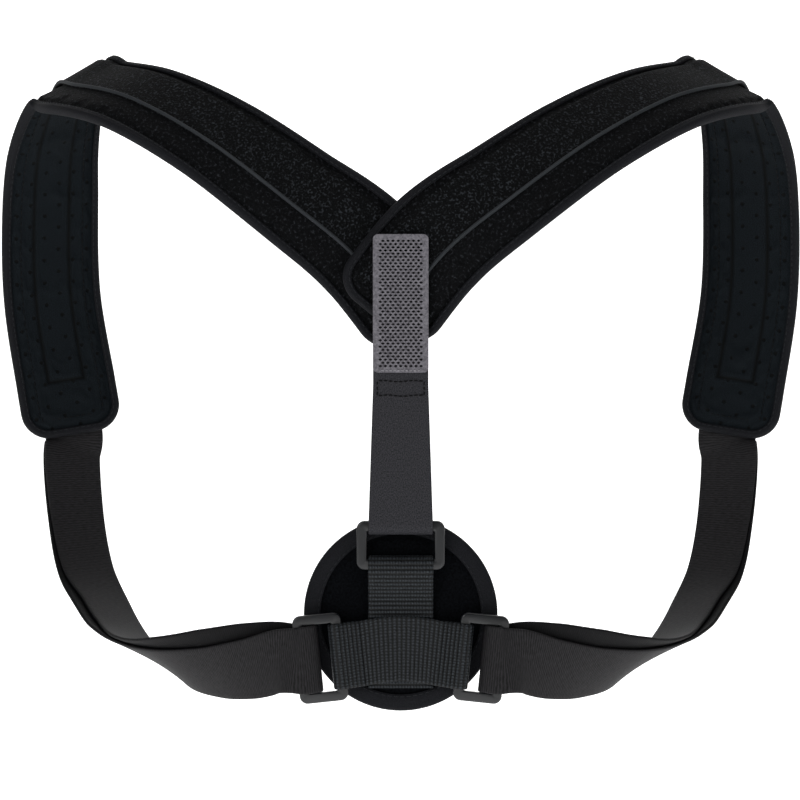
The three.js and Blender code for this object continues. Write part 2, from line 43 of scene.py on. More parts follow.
# Shoulder bands
# Two padded bands of laminated foam, faced with a perforated knit on the lining side and with a
# brushed knit outside. They are cut flat, quilted along two channels and bent over the shoulders.
MM = 0.001
HALF_SPAN = 194.0
LOOP_DEPTH = 141.0
CROSSING_DROP = 124.0
FRONT_DROP = 185.0
BACK_PLANE = -LOOP_DEPTH / 2
CLEARANCE = 0.4
BAND_WIDTH = 54.5
BAND_HALF = 3.0
RIM_HALF = 1.5
CORNER = 14.0
CROSSING_SHIFT = 4.3
UNDER_BAND_SAG = 2.5
COVER = 3.0
SLOPE = 3.6
CHANNEL_END = 30.0
SEWN_IN = 8.6
CHANNEL_DEPTH = 1.2
CHANNEL_SPREAD = 1.3
LINING_SWELL = 0.9
OUTER_SWELL = 0.45

# out, deep, down, tip, lean, wide, cross
BACK_COURSE = (
    (-0.06, 0, 1.01, 0, 0, 1, 1),
    (0.095, 0, 0.71, 1, 0, 1, 1),
    (0.27, 0.035, 0.5, 16, 0, 0.95, 0.8),
    (0.487, 0.12, 0.265, 32, 3, 0.92, 0.3),
    (0.69, 0.27, 0.095, 50, 11, 0.92, 0),
    (0.85, 0.5, 0.01, 74, 27, 0.94, 0),
)
FRONT_COURSE = (
    (0.918, 0.66, -0.012, 101, 38, 0.95, 0),
    (0.982, 0.83, 0.14, 134, 32, 0.95, 0),
    (1.003, 0.92, 0.3, 160, 26, 0.96, 0),
    (1.006, 0.985, 0.585, 176, 22, 0.96, 0),
    (0.967, 1, 0.857, 180, 18, 0.97, 0),
    (0.943, 0.995, 1, 180, 17, 0.97, 0),
)


def facing(tip, lean):
    """Direction that a face looks in: tip turns it from the back over the top to the front."""
    turn, side = math.radians(tip), math.radians(lean)
    return np.array((math.sin(side), -math.cos(side) * math.cos(turn), math.cos(side) * math.sin(turn)))


def spline(points, t, even):
    """Point of a smooth curve through points, for t from 0 to 1; even spaces by the points' distances."""
    spans = len(points) - 1
    i = min(int(t * spans), spans - 1)
    w = t * spans - i
    b, c = points[i], points[i + 1]
    a = points[i - 1] if i > 0 else 2 * b - c
    d = points[i + 2] if i + 2 <= spans else 2 * c - b
    if even:
        ab, bc, cd = (float(((q - p) ** 2).sum()) ** 0.25 for p, q in ((a, b), (b, c), (c, d)))
        start = ((b - a) / ab - (c - a) / (ab + bc) + (c - b) / bc) * bc
        end = ((c - b) / bc - (d - b) / (bc + cd) + (d - c) / cd) * bc
    else:
        start, end = (c - a) / 2, (d - b) / 2
    return b + start * w + (3 * (c - b) - 2 * start - end) * w**2 + (2 * (b - c) + start + end) * w**3


def unit(v):
    return v / np.linalg.norm(v)


class Course:
    """A smooth course through sections, each a (place, facing, values) tuple, in millimetres."""

    def __init__(self, sections):
        self.places = [s[0] for s in sections]
        self.faces = [s[1] for s in sections]
        self.values = np.array([s[2] for s in sections], float)
        self.steps = np.linspace(0, 1, 401)
        points = np.array([spline(self.places, t, True) for t in self.steps])
        gaps = np.linalg.norm(np.diff(points, axis=0), axis=1)
        self.lengths = np.concatenate(([0], np.cumsum(gaps)))
        self.length = float(self.lengths[-1])

    def frame(self, distance):
        """Place, way along, way across, way out and values at a length along the course."""
        t = float(np.interp(distance, self.lengths, self.steps))
        before, after = max(t - 1e-4, 0), min(t + 1e-4, 1)
        along = unit(spline(self.places, after, True) - spline(self.places, before, True))
        out = spline(self.faces, t, False)
        out = unit(out - out.dot(along) * along)
        spot = t * (len(self.places) - 1)
        values = [np.interp(spot, range(len(self.places)), column) for column in self.values.T]
        return spline(self.places, t, True), along, np.cross(out, along), out, values


def band_course(side):
    """Course of the band on one side: 1 is the right, whose back end lies over the left one's."""
    sections = []
    for drop, table in ((CROSSING_DROP, BACK_COURSE), (FRONT_DROP, FRONT_COURSE)):
        for out, deep, down, tip, lean, wide, cross in table:
            place = np.array((
                out * HALF_SPAN,
                BACK_PLANE + deep * LOOP_DEPTH - side * cross * CROSSING_SHIFT,
                BAND_HALF - down * drop - (cross * UNDER_BAND_SAG if side < 0 else 0),
            ))
            sections.append((place, facing(tip, lean), (wide,)))
    return Course(sections)


def into_corner(course, d):
    """How far a length lies past the start of a rounded corner."""
    return max(CORNER - min(d, course.length - d), 0)


def full_half(course, d):
    return BAND_WIDTH / 2 * course.frame(d)[4][0]


def half_width(course, d):
    left = min(into_corner(course, d), CORNER)
    return full_half(course, d) - CORNER + math.sqrt(max(CORNER**2 - left**2, 0))


def from_edge(course, d, u):
    """How far a place on the band lies from its outline."""
    half = full_half(course, d)
    left, aside = into_corner(course, d), max(abs(u) - (half - CORNER), 0)
    if left > 0 and aside > 0:
        return CORNER - math.hypot(left, aside)
    return min(half - abs(u), d, course.length - d)


def smooth(x, low, high):
    x = min(max((x - low) / (high - low), 0), 1)
    return x * x * (3 - 2 * x)


def stations(course, step):
    """Lengths at which a band is cut, close together in its rounded ends."""
    ends = [CORNER * (1 - math.cos(a)) for a in np.linspace(0, math.pi / 2, 12)]
    count = round((course.length - 2 * CORNER) / step)
    middle = np.linspace(CORNER, course.length - CORNER, count + 1)[1:-1]
    return [*ends, *middle, *(course.length - d for d in reversed(ends))]


def carried(name, rings, along, around, loop=False):
    """Mesh of a closed section carried along a course, with a UV map in millimetres: the way along
    it, and the way round its section. Rings come in metres."""
    rings = np.asarray(rings)
    count, size, _ = rings.shape
    around = np.broadcast_to(around, (count, size + 1))
    faces, uvs = [], []
    for i in range(count if loop else count - 1):
        n = (i + 1) % count
        for j in range(size):
            k = (j + 1) % size
            faces.append((i * size + j, i * size + k, n * size + k, n * size + j))
            uvs += [(along[i], around[i, j]), (along[i], around[i, j + 1])]
            uvs += [(along[i + 1], around[n, j + 1]), (along[i + 1], around[n, j])]
    if not loop:
        for i, flip in ((0, True), (count - 1, False)):
            for j in range(size // 2 - 1):
                cap = [j, size - 1 - j, size - 2 - j, j + 1]
                faces.append([i * size + k for k in (reversed(cap) if flip else cap)])
                uvs += [(along[i], around[i, k]) for k in (reversed(cap) if flip else cap)]
    mesh = bpy.data.meshes.new(name)
    mesh.from_pydata(rings.reshape(-1, 3).tolist(), [], faces)
    mesh.uv_layers.new(name="cloth").data.foreach_set("uv", np.array(uvs, np.float32).ravel())
    work = bmesh.new()
    work.from_mesh(mesh)
    bmesh.ops.recalc_face_normals(work, faces=work.faces)
    if work.calc_volume(signed=True) < 0:
        bmesh.ops.reverse_faces(work, faces=work.faces)
    work.to_mesh(mesh)
    work.free()
    mesh.shade_smooth()
    mesh.set_sharp_from_angle(angle=math.radians(50))
    piece = bpy.data.objects.new(name, mesh)
    scene.collection.objects.link(piece)
    return piece


def colour(code):
    """Linear colour of an sRGB hex code."""
    parts = [int(code[i:i + 2], 16) / 255 for i in (0, 2, 4)]
    return (*(c / 12.92 if c <= 0.04045 else ((c + 0.055) / 1.055) ** 2.4 for c in parts), 1)


def material(name):
    """A new material's node tree, with its shader."""
    made = bpy.data.materials.new(name)
    made.use_nodes = True
    return made, made.node_tree, made.node_tree.nodes["Principled BSDF"]


def add(tree, kind, settings=None, **links):
    """Adds a node. Settings are its properties, links its inputs: a value or another output."""
    made = tree.nodes.new(kind)
    for key, value in (settings or {}).items():
        setattr(made, key, value)
    for key, value in links.items():
        name = int(key[1:]) if key[0] == "i" and key[1:].isdigit() else key.replace("_", " ")
        if isinstance(value, bpy.types.NodeSocket):
            tree.links.new(value, made.inputs[name])
        else:
            made.inputs[name].default_value = value
    return made


def maths(tree, operation, first, second=0.0, third=0.0):
    return add(tree, "ShaderNodeMath", {"operation": operation}, i0=first, i1=second, i2=third).outputs[0]


def ramp(tree, value, stops):
    """Colour ramp through (place, colour) stops."""
    made = add(tree, "ShaderNodeValToRGB", None, Fac=value)
    elements = made.color_ramp.elements
    while len(elements) < len(stops):
        elements.new(0.5)
    for element, (place, shade) in zip(elements, stops):
        element.position = place
        element.color = shade
    return made.outputs["Color"]


def finish_with(tree, shader, shade, rough, height=None, distance=0.3, strength=0.6, gloss=0.12):
    """Puts colour, roughness, gloss and a height, in millimetres of relief, on the shader."""
    shader.inputs["Specular IOR Level"].default_value = gloss
    if isinstance(shade, bpy.types.NodeSocket):
        tree.links.new(shade, shader.inputs["Base Color"])
    else:
        shader.inputs["Base Color"].default_value = shade
    shader.inputs["Roughness"].default_value = rough
    if height is not None:
        bump = add(tree, "ShaderNodeBump", None, Strength=strength, Distance=distance * MM, Height=height)
        tree.links.new(bump.outputs["Normal"], shader.inputs["Normal"])


courses = {1: band_course(1), -1: band_course(-1)}
SIDES = {1: "right", -1: "left"}
CHANNELS = (-10.0, 10.0)
ACROSS = 49
HOLE_RADIUS = 1.2
HOLES_ALONG = 12.5
HOLES_ACROSS = 8.0
SEAM_SHADE = 1.6


def lining_knit():
    """Perforated spacer knit: it gives a dull dark ground, small round holes and a fine grain, with painted
    shade along the quilted channels.
    """
    made, tree, shader = material("perforated_knit")
    cloth = add(tree, "ShaderNodeUVMap", {"uv_map": "cloth"}).outputs[0]
    apart = add(tree, "ShaderNodeSeparateXYZ", None, Vector=cloth)
    row = maths(tree, "DIVIDE", apart.outputs["Y"], HOLES_ACROSS)
    odd = maths(tree, "MULTIPLY", maths(tree, "PINGPONG", maths(tree, "FLOOR", row), 1.0), 0.5)
    column = maths(tree, "ADD", maths(tree, "DIVIDE", apart.outputs["X"], HOLES_ALONG), odd)
    across = maths(tree, "SUBTRACT", maths(tree, "FRACT", row), 0.5)
    along = maths(tree, "SUBTRACT", maths(tree, "FRACT", column), 0.5)
    across = maths(tree, "POWER", maths(tree, "MULTIPLY", across, HOLES_ACROSS), 2.0)
    along = maths(tree, "POWER", maths(tree, "MULTIPLY", along, HOLES_ALONG), 2.0)
    reach = maths(tree, "SQRT", maths(tree, "ADD", across, along))
    reach = maths(tree, "POWER", maths(tree, "DIVIDE", reach, HOLE_RADIUS), 4.0)
    hole = maths(tree, "SUBTRACT", 1.0, maths(tree, "SMOOTH_MIN", reach, 1.0, 0.05))
    # Painted shade: the knit is darkened in a line along the quilted channels and across their ends, where
    # the grooves' shade falls; this line joins the hole mask and takes the holes' colour.
    beside = maths(tree, "SUBTRACT", maths(tree, "ABSOLUTE", apart.outputs["Y"]), max(CHANNELS))
    end = courses[1].length / 2 - CHANNEL_END
    past = maths(tree, "SUBTRACT", maths(tree, "ABSOLUTE", apart.outputs["X"]), end)
    sewn = maths(tree, "ABSOLUTE", maths(tree, "MAXIMUM", beside, past))
    sewn = maths(tree, "MINIMUM", maths(tree, "DIVIDE", sewn, SEAM_SHADE), 1.0)
    hole = maths(tree, "MAXIMUM", hole, maths(tree, "SUBTRACT", 1.0, sewn))
    grain = add(tree, "ShaderNodeTexNoise", None, Vector=cloth, Scale=2.2, Detail=3.0).outputs["Fac"]
    ground = ramp(tree, grain, [(0.4, colour("020406")), (0.62, colour("141b20"))])
    shade = add(tree, "ShaderNodeMix", {"data_type": "RGBA"}, i0=hole, i6=ground, i7=colour("020303"))
    height = maths(tree, "SUBTRACT", maths(tree, "MULTIPLY", grain, 0.25), hole)
    finish_with(tree, shader, shade.outputs[2], 0.85, height, 0.6, 0.7)
    return made


def brushed_knit():
    """Brushed knit over foam: it gives a mottled near-black, paler where the nap stands up."""
    made, tree, shader = material("brushed_knit")
    cloth = add(tree, "ShaderNodeUVMap", {"uv_map": "cloth"}).outputs[0]
    nap = add(tree, "ShaderNodeTexNoise", None, Vector=cloth, Scale=0.6, Detail=5.0, Roughness=0.7)
    nap = nap.outputs["Fac"]
    shade = ramp(tree, nap, [(0.44, colour("020304")), (0.55, colour("07080a")), (0.67, colour("2a2c30"))])
    finish_with(tree, shader, shade, 0.9, nap, 0.8, 0.8)
    return made


def put(piece, node, look):
    """Rides the piece on the one body, in place of a CAD node and material."""
    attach(piece, "root")
    if node:
        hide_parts(node)
    piece.data.materials.clear()
    piece.data.materials.append(look)
    return piece


def flank(points, side):
    """Points in millimetres, built for the right, as metres on the given side."""
    return np.asarray(points) * np.array((side, 1, 1)) * MM


def swell(piece, held, reach):
    """Lets the cloth of a padded piece swell a little between its seams, and keeps the result.
    held says which points are sewn down, and reach is how far each may move, in millimetres."""
    rest = np.array([v.co for v in piece.data.vertices])
    group = piece.vertex_groups.new(name="sewn")
    group.add([i for i, h in enumerate(held) if h], 1.0, "REPLACE")
    cloth = piece.modifiers.new("swelling", "CLOTH")
    cloth.settings.quality = 4
    cloth.settings.mass = 0.2
    cloth.settings.tension_stiffness = cloth.settings.compression_stiffness = 10
    cloth.settings.bending_stiffness = 0.2
    cloth.settings.shrink_min = -0.035
    cloth.settings.use_pressure = True
    cloth.settings.uniform_pressure_force = 4
    cloth.settings.vertex_group_mass = group.name
    cloth.settings.effector_weights.gravity = 0
    cloth.collision_settings.use_collision = False
    cloth.point_cache.frame_start, cloth.point_cache.frame_end = 1, 20
    for step in range(1, 21):
        scene.frame_set(step)
    swollen = piece.evaluated_get(bpy.context.evaluated_depsgraph_get()).data
    moved = np.array([v.co for v in swollen.vertices]) - rest
    far = np.linalg.norm(moved, axis=1) / MM
    moved *= (np.minimum(far, reach) / np.maximum(far, 1e-9))[:, None]
    piece.modifiers.remove(cloth)
    piece.vertex_groups.remove(group)
    piece.data.vertices.foreach_set("co", (rest + moved).ravel())
    piece.data.update()
    scene.frame_set(1)


knit = lining_knit()
brushed = brushed_knit()
for side, hand in SIDES.items():
    course = courses[side]
    rings, around, held = [], [], []
    lengths = stations(course, 2.2)
    for d in lengths:
        at, along, across, out, _ = course.frame(d)
        half = half_width(course, d)
        us = half * np.sin(np.linspace(-1, 1, ACROSS) * math.pi / 2 * 0.9) / math.sin(math.pi / 2 * 0.9)
        lining, outer = [], []
        for u in us:
            edge = from_edge(course, d, u)
            rise = smooth(edge, COVER + CLEARANCE, COVER + CLEARANCE + SLOPE)
            thick = RIM_HALF + (BAND_HALF - RIM_HALF) * rise
            ahead = min(d, course.length - d) - CHANNEL_END
            groove = max(math.exp(-((u - c) / CHANNEL_SPREAD) ** 2) for c in CHANNELS) if ahead > 0 else 0
            if abs(u) < max(CHANNELS):
                groove = max(groove, math.exp(-(ahead / CHANNEL_SPREAD) ** 2))
            sewn = 0.35 * math.exp(-((edge - SEWN_IN) / 0.9) ** 2)
            lining.append(at + across * u - out * (thick - CHANNEL_DEPTH * groove * rise - sewn))
            held.append(edge < COVER + CLEARANCE + 0.8 or groove > 0.6 or abs(edge - SEWN_IN) < 0.7)
            outer.append(at + across * u + out * thick)
        rings.append(lining + outer[::-1])
        held += [edge < COVER + CLEARANCE + 0.8 for edge in (from_edge(course, d, u) for u in us[::-1])]
        around.append([*us, *us[::-1], us[0]])
    middle = np.array(lengths) - course.length / 2
    pad = carried(f"{hand}_shoulder_pad_cover", flank(rings, side), middle, np.array(around))
    reach = np.tile([LINING_SWELL] * ACROSS + [OUTER_SWELL] * ACROSS, len(rings))
    swell(pad, held, reach)
    put(pad, f"{hand}_shoulder_pad", knit)
    pad.data.materials.append(brushed)
    for face in pad.data.polygons:
        face.material_index = int(min(v % (2 * ACROSS) for v in face.vertices) >= ACROSS)


# Bound edges of the bands
# A folded knit tape goes round the outline of each band, over the thin rim of the foam, and is
# sewn through both faces with one row of stitches near its inner edge.
BINDING_WALL = 1.0
SLOT_HALF = RIM_HALF + CLEARANCE
BINDING_HALF = SLOT_HALF + BINDING_WALL
SEAM_IN = 0.9
STITCH_STEP = 3.2
STITCH_LENGTH = 2.2
THREAD_RADIUS = 0.26
QUILTING_STEP = 3.4


def binding_knit():
    """Smooth folded knit tape: it gives a charcoal a little lighter than the cloth, with fine ribs."""
    made, tree, shader = material("binding_knit")
    cloth = add(tree, "ShaderNodeUVMap", {"uv_map": "cloth"}).outputs[0]
    rib = add(tree, "ShaderNodeTexWave", {"bands_direction": "X"}, Vector=cloth, Scale=0.35, Distortion=0.6)
    grain = add(tree, "ShaderNodeTexNoise", None, Vector=cloth, Scale=1.4, Detail=4.0).outputs["Fac"]
    shade = ramp(tree, grain, [(0.25, colour("090a0d")), (0.75, colour("191a1e"))])
    height = maths(tree, "ADD", maths(tree, "MULTIPLY", rib.outputs["Fac"], 0.5), grain)
    finish_with(tree, shader, shade, 0.75, height, 0.15, 0.6)
    return made


def stitches(name, paths, length, radius):
    """Short threads lying along paths, each a list of (place, way along, way out) in metres."""
    verts, faces = [], []
    sides, spots = 6, ((-0.5, 0.35), (-0.3, 1), (0.3, 1), (0.5, 0.35))
    for place, along, out in paths:
        across = np.cross(out, along)
        base = len(verts)
        for spot, wide in spots:
            for k in range(sides):
                a = 2 * math.pi * k / sides
                lift = (0.35 + math.cos(a) * wide) * radius
                aside = math.sin(a) * wide * radius
                verts.append(place + along * spot * length + across * aside + out * lift)
        for i in range(len(spots) - 1):
            for k in range(sides):
                n = (k + 1) % sides
                row = base + i * sides
                faces.append((row + k, row + n, row + sides + n, row + sides + k))
        faces.append([base + k for k in reversed(range(sides))])
        faces.append([base + (len(spots) - 1) * sides + k for k in range(sides)])
    mesh = bpy.data.meshes.new(name)
    mesh.from_pydata([tuple(v) for v in verts], [], faces)
    work = bmesh.new()
    work.from_mesh(mesh)
    bmesh.ops.recalc_face_normals(work, faces=work.faces)
    work.to_mesh(mesh)
    work.free()
    mesh.shade_smooth()
    piece = bpy.data.objects.new(name, mesh)
    scene.collection.objects.link(piece)
    return piece


def thread(code):
    """Dyed polyester sewing thread: it gives short dull dashes that stand a little off the cloth."""
    made, tree, shader = material(f"thread_{code}")
    finish_with(tree, shader, colour(code), 0.6)
    return made


binding_look = binding_knit()
dark_thread = thread("1e2023")
black_thread = thread("060607")
for side, hand in SIDES.items():
    course = courses[side]
    nose = CLEARANCE + BINDING_WALL
    arc = [(-COVER + (nose + COVER) * t, BINDING_HALF) for t in (0, 0.08, 0.4, 0.6)]
    arc[0] = (-COVER, BINDING_HALF - 0.35)
    bend = [
        (nose - BINDING_HALF * 0.8 * (1 - math.sin(a)), BINDING_HALF * math.cos(a))
        for a in np.linspace(0.25, math.pi - 0.25, 9)
    ]
    section = arc + bend + [(a, -b) for a, b in reversed(arc)]
    section += [(-COVER, -SLOT_HALF), (CLEARANCE, -SLOT_HALF), (CLEARANCE, SLOT_HALF), (-COVER, SLOT_HALF)]
    around = np.cumsum([0, *(math.dist(p, q) for p, q in zip(section, section[1:] + section[:1]))])
    lengths = stations(course, 2.4)
    rings, seams = [], []
    for way, row in ((1, lengths), (-1, lengths[::-1])):
        for d in row:
            at, along, across, out, _ = course.frame(d)
            half = half_width(course, d)
            slant = min(into_corner(course, d) / CORNER, 1)
            toward = -slant if d < course.length / 2 else slant
            square = math.sqrt(max(1 - slant * slant, 0))
            pucker = 0.07 * math.sin(d * 1.9 + way)
            aslant = along * toward
            rings.append([
                at + across * way * (half + a * square) + out * (b + math.copysign(pucker, b)) + aslant * a
                for a, b in section
            ])
            seam = SEAM_IN - COVER
            spot = at + across * way * (half + seam * square) + aslant * seam
            for face in (1, -1):
                seams.append((spot + out * face * (BINDING_HALF + 0.02), face, out))
    rings = flank(rings, side)
    steps = np.linalg.norm(np.diff(np.concatenate((rings, rings[:1]))[:, 8], axis=0), axis=1) / MM
    edge = carried(f"{hand}_pad_binding_tape", rings, np.concatenate(([0], np.cumsum(steps))), around, True)
    put(edge, f"{hand}_pad_binding", binding_look)
    threads = []
    for face in (1, -1):
        row = [(flank(p, side), face * flank(o, side) / MM) for p, f, o in seams if f == face]
        spots = np.array([p for p, _ in row] + [row[0][0]])
        outs = np.array([o for _, o in row] + [row[0][1]])
        run = np.concatenate(([0], np.cumsum(np.linalg.norm(np.diff(spots, axis=0), axis=1))))
        for s in np.arange(0, run[-1], STITCH_STEP * MM):
            here, there = (np.array([np.interp(s + e, run, c) for c in spots.T]) for e in (0, 0.5 * MM))
            lift = unit(np.array([np.interp(s, run, c) for c in outs.T]))
            threads.append((here, unit(there - here), lift))
    row = stitches(f"{hand}_pad_binding_stitches", threads, STITCH_LENGTH * MM, THREAD_RADIUS * MM)
    put(row, None, dark_thread)

    threads = []
    for d in np.arange(SEWN_IN, course.length - SEWN_IN, QUILTING_STEP):
        at, along, across, out, _ = course.frame(d)
        for way in (1, -1):
            spot = at + across * way * (half_width(course, d) - SEWN_IN) - out * (BAND_HALF - 0.35)
            threads.append((spot, along, -out))
    for d in (SEWN_IN, course.length - SEWN_IN):
        at, along, across, out, _ = course.frame(d)
        reach = full_half(course, d) - SEWN_IN - CORNER / 2
        for u in np.arange(-reach, reach, QUILTING_STEP):
            threads.append((at + across * u - out * (BAND_HALF - 0.35), across, -out))
    threads = [(flank(p, side), flank(t, side) / MM, flank(o, side) / MM) for p, t, o in threads]
    row = stitches(f"{hand}_shoulder_pad_stitches", threads, 2.4 * MM, 0.3 * MM)
    put(row, None, black_thread)


# Plush tape on the bands
# A strip of brushed loop tape is laid along the upper part of each band's outer face, where the
# hook tab can be pressed on. Its pile is short and matted, and its lower edge stands up as a ridge,
# coloured paler as a painted highlight.
TAPE_WIDTH = 27.0
TAPE_THICKNESS = 1.2
TAPE_LIFT = 0.6
TAPE_TOP_EDGE = BAND_WIDTH / 2 - 7.6
TAPE_BACK_INSET = 9.0
TAPE_FRONT_INSET = 34.0
TAPE_CREST = BAND_HALF + TAPE_LIFT + TAPE_THICKNESS
RIDGE = 0.93
RIDGE_HEIGHT = 0.95


def plush_pile():
    """Matted nylon loops: they give a near-black ground with small paler curls standing out of it."""
    made, tree, shader = material("loop_pile")
    spot = add(tree, "ShaderNodeTexCoord").outputs["Object"]
    curl = add(tree, "ShaderNodeTexVoronoi", {"feature": "SMOOTH_F1"}, Vector=spot, Scale=1100.0)
    mat = add(tree, "ShaderNodeTexNoise", None, Vector=spot, Scale=650.0, Detail=5.0, Roughness=0.7)
    both = maths(tree, "ADD", mat.outputs["Fac"], curl.outputs["Distance"])
    both = maths(tree, "MULTIPLY", both, 0.62)
    shade = ramp(tree, both, [(0.45, colour("020304")), (0.62, colour("060708")), (0.8, colour("2c2f33"))])
    finish_with(tree, shader, shade, 0.9, both, 0.9, 0.9)
    return made


pile = plush_pile()
# Painted highlight: the ridge along the tape's lower edge gets a flat paler grey, standing in for the light
# caught on the raised welt.
welt_highlight, tree, shader = material("welt_painted_highlight")
finish_with(tree, shader, colour("2d3033"), 0.6)
for side, hand in SIDES.items():
    course = courses[side]
    lengths = np.arange(TAPE_BACK_INSET, course.length - TAPE_FRONT_INSET, 1.3)
    shares = np.concatenate((np.linspace(0, RIDGE, 20), np.linspace(RIDGE, 1, 7)[1:]))
    rings = []
    for d in lengths:
        at, along, across, out, (wide,) = course.frame(d)
        us = (TAPE_TOP_EDGE - shares * TAPE_WIDTH) * wide
        crest = TAPE_CREST + RIDGE_HEIGHT * np.sin(np.pi * np.maximum(shares - RIDGE, 0) / (1 - RIDGE))
        crest[[0, -1]] -= 0.5
        low = [at + across * u + out * (BAND_HALF + TAPE_LIFT) for u in us]
        high = [at + across * u + out * rise for u, rise in zip(us, crest)]
        rings.append(low + high[::-1])
    strip = (TAPE_WIDTH * shares).tolist()
    around = np.array([*strip, *strip[::-1], 0])
    tape = carried(f"{hand}_loop_tape_pile", flank(rings, side), lengths, around)
    put(tape, f"{hand}_loop_tape", pile)
    tape.data.materials.append(welt_highlight)
    size = 2 * len(shares)
    # Faces of the ridge take the painted highlight colour.
    for face in tape.data.polygons:
        edge_row = [v % size - len(shares) for v in face.vertices]
        face.material_index = int(min(edge_row) >= 0 and max(edge_row) <= 6)


# Rings
# Three moulded plastic rings join the straps and webbings: one at each side and one at the middle.
# Each is a rounded rectangle with two posts and two rails, its edges eased in the mould.
STRAP_WIDTH = 32.5
BAR = 5.0
RING_PLAY = 0.7
RING_WIDTH = 24.4
RING_LENGTH = STRAP_WIDTH + 2 * (BAR + RING_PLAY)
RING_THICKNESS = 3.8
TILT = math.radians(6)
POST_OFFSET = RING_WIDTH / 2 - BAR / 2
BACK_PAD_SET_IN = 1.5
PAD_FACE = BACK_PLANE + BACK_PAD_SET_IN
SIDE_STRAP_THICKNESS = 1.8
FOLD_PLAY = 1.2
SIDE_REACH = BAR / 2 + CLEARANCE + SIDE_STRAP_THICKNESS / 2 + FOLD_PLAY
RING_DEPTH = PAD_FACE - CLEARANCE - SIDE_STRAP_THICKNESS / 2 - SIDE_REACH
PAD_DROP = 271.3
SIDE_RING = np.array((40.0, RING_DEPTH, -PAD_DROP - 21.2))
CENTRE_RING = np.array((0.0, RING_DEPTH, -PAD_DROP + 35))


def moulded_plastic():
    """Moulded acetal: it gives a soft highlight along its eased edges on a faintly pebbled charcoal."""
    made, tree, shader = material("moulded_plastic")
    spot = add(tree, "ShaderNodeTexCoord").outputs["Object"]
    pebble = add(tree, "ShaderNodeTexNoise", None, Vector=spot, Scale=2500.0, Detail=2.0).outputs["Fac"]
    finish_with(tree, shader, colour("0e1013"), 0.29, pebble, 0.05, 0.35, 0.55)
    return made


def pick(piece, kind, wanted):
    """Selects the faces or edges of the piece in edit mode that are wanted, and no others."""
    bpy.ops.mesh.select_all(action="DESELECT")
    work = bmesh.from_edit_mesh(piece.data)
    for part in getattr(work, kind):
        part.select_set(wanted(part))
    work.select_flush_mode()
    bmesh.update_edit_mesh(piece.data)


def upright(edge):
    """Whether an edge runs through the thickness of the ring."""
    a, b = (v.co for v in edge.verts)
    return abs(a.x - b.x) < 1e-6 and abs(a.z - b.z) < 1e-6


def make_ring(name, place, turn):
    """A ring facing back, turned about Y, by editing a cube."""
    bpy.ops.object.select_all(action="DESELECT")
    bpy.ops.mesh.primitive_cube_add(size=1)
    ring = bpy.context.active_object
    ring.name = name
    ring.data.name = name
    ring.scale = (RING_LENGTH * MM, RING_THICKNESS * MM, RING_WIDTH * MM)
    bpy.ops.object.transform_apply(location=False, rotation=False, scale=True)
    bpy.ops.object.mode_set(mode="EDIT")
    bpy.ops.mesh.select_mode(type="FACE")
    pick(ring, "faces", lambda f: abs(f.normal.y) > 0.9)
    bpy.ops.mesh.inset(thickness=BAR * MM)
    bpy.ops.mesh.bridge_edge_loops()
    bpy.ops.mesh.select_mode(type="EDGE")
    pick(ring, "edges", lambda e: upright(e) and abs(e.verts[0].co.x) > (RING_LENGTH / 2 - 0.1) * MM)
    bpy.ops.mesh.bevel(offset=4.0 * MM, segments=6, affect="EDGES")
    pick(ring, "edges", lambda e: upright(e) and abs(e.verts[0].co.x) < (RING_LENGTH / 2 - BAR + 0.1) * MM)
    bpy.ops.mesh.bevel(offset=1.2 * MM, segments=4, affect="EDGES")
    bpy.ops.object.mode_set(mode="OBJECT")
    bevel = ring.modifiers.new("eased", "BEVEL")
    bevel.width = 1.7 * MM
    bevel.segments = 4
    bevel.angle_limit = math.radians(50)
    bpy.ops.object.modifier_apply(modifier=bevel.name)
    ring.data.transform(Matrix.Translation(Vector(place) * MM) @ Matrix.Rotation(turn, 4, "Y"))
    ring.data.shade_smooth()
    return ring


plastic = moulded_plastic()
for side, hand in SIDES.items():
    place = SIDE_RING * np.array((side, 1, 1))
    ring = make_ring(f"{hand}_side_ring", place, math.pi / 2 + side * TILT)
    put(ring, f"{hand}_side_buckle", plastic)
ring = make_ring("centre_ring", CENTRE_RING, 0)
put(ring, "centre_buckle", plastic)


# Side straps
# A flat elastic strap is sewn to each band's front end, comes round under the arm, turns about the
# outer post of the side ring and runs back over itself to a sewn end below the band.
OVERLAP = 24.0
RUN_ON = 3.0
STEP = 3.0
SLIP = 9.0
FOLD_SLACK = 3.8
FOLD_SPREAD = 1.03

# out, deep, down, tip, lean, slip, apart
STRAP_COURSE = (
    (1.005, 0.982, 0.09, 180, 26, 0, 0),
    (0.975, 0.915, 0.414, 186, 34, 0.1, 0),
    (0.92, 0.816, 0.667, 205, 36, 0.25, 0),
    (0.845, 0.71, 0.81, 226, 38, 0.6, 0),
    (0.755, 0.57, 0.935, 258, 28, 0.6, 0),
    (0.65, 0.41, 1.005, 292, 12, -0.2, 0),
    (0.5, 0.225, 1.045, 318, 6, -0.8, 0),
    (0.345, 0.11, 1.035, 332, 4, -1.05, 0),
    (0.2, 0.045, 1.01, 345, 0, -0.8, 0.2),
    (0.08, 0.015, 0.99, 355, 0, -0.3, 0.6),
)
OUTWARD = np.array((math.cos(TILT), 0, -math.sin(TILT)))
UPWARD = np.array((math.sin(TILT), 0, math.cos(TILT)))
OUTER_POST = SIDE_RING + OUTWARD * POST_OFFSET
INNER_POST = SIDE_RING - OUTWARD * POST_OFFSET


def turn_round(post, outward, across, radius, slack=0.0):
    """Frames of a half turn about a post, from behind it to in front of it. Slack is how far the
    fold stands off from a round one."""
    frames = []
    for angle in np.linspace(0, math.pi, 17):
        out = np.array((0, math.cos(angle), 0)) + outward * math.sin(angle)
        frames.append((post + out * radius + outward * math.sin(angle) * slack, across, out))
    return frames


COLUMNS = 16
SECTION = 2 * COLUMNS + 8


